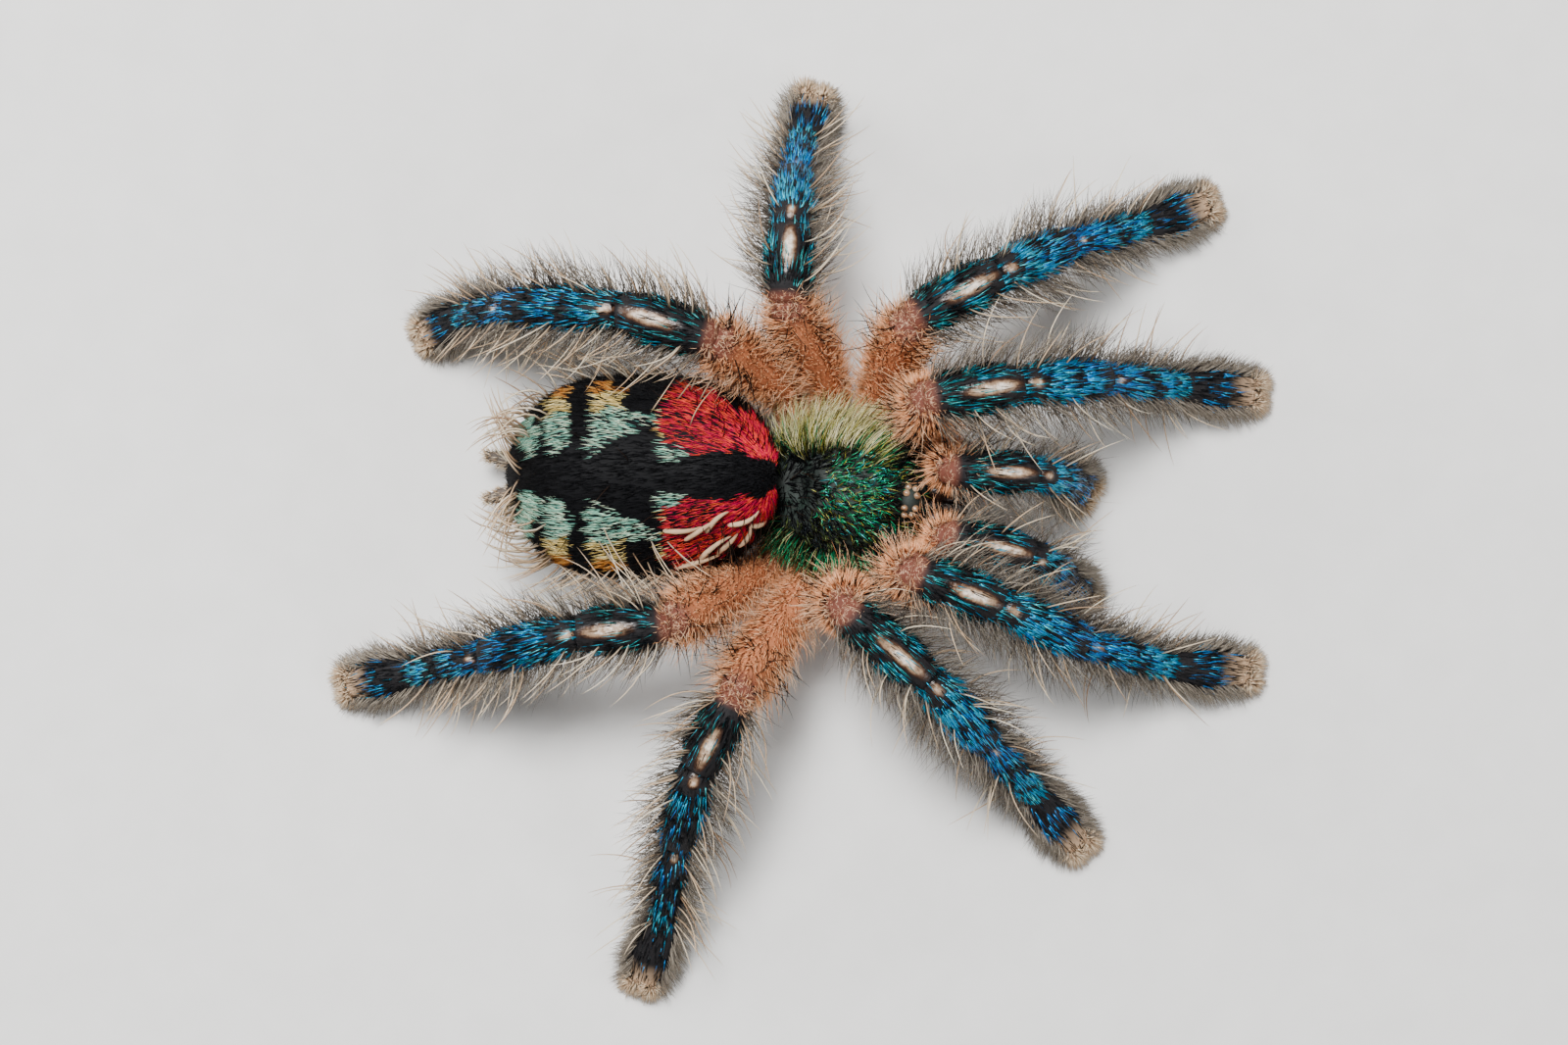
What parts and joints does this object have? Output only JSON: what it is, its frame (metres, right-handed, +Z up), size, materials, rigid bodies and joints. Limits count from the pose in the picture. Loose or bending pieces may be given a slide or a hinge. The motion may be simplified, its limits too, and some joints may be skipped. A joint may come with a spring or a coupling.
{
  "type": "dried tarantula specimen",
  "caption": "Small dried tree tarantula standing with its legs spread: green carapace, black abdomen with red and mint patches, blue-banded hairy legs.",
  "frame": {"origin": "on the surface that the feet stand on, under the middle of the leg span", "axes": "+X towards the head, +Y towards the animal's left side, +Z up"},
  "size_m": [0.0444, 0.0436, 0.0106],
  "materials": {
    "carapace": "hard shell under flat metallic green hair, darker at the pit and the eyes",
    "abdomen_hair": "velvety black hair with red patches in front and mint, cream and orange patches behind",
    "limb_hair": "dark glossy shell with flat teal and blue hair, peach hair on the thighs, beige brushes",
    "jaw_shell": "dark brown haired shell with a black glossy fang",
    "spinneret_hair": "matte grey-brown fine hair"
  },
  "bodies": {
    "root": {"cephalothorax": "carapace", "abdomen": "abdomen_hair", "leg_left_1": "limb_hair", "leg_left_2": "limb_hair", "leg_left_3": "limb_hair", "leg_left_4": "limb_hair", "leg_right_1": "limb_hair", "leg_right_2": "limb_hair", "leg_right_3": "limb_hair", "leg_right_4": "limb_hair", "palp_left": "limb_hair", "palp_right": "limb_hair", "chelicera_left": "jaw_shell", "chelicera_right": "jaw_shell", "spinneret_left": "spinneret_hair", "spinneret_right": "spinneret_hair"}
  },
  "joints": []
}
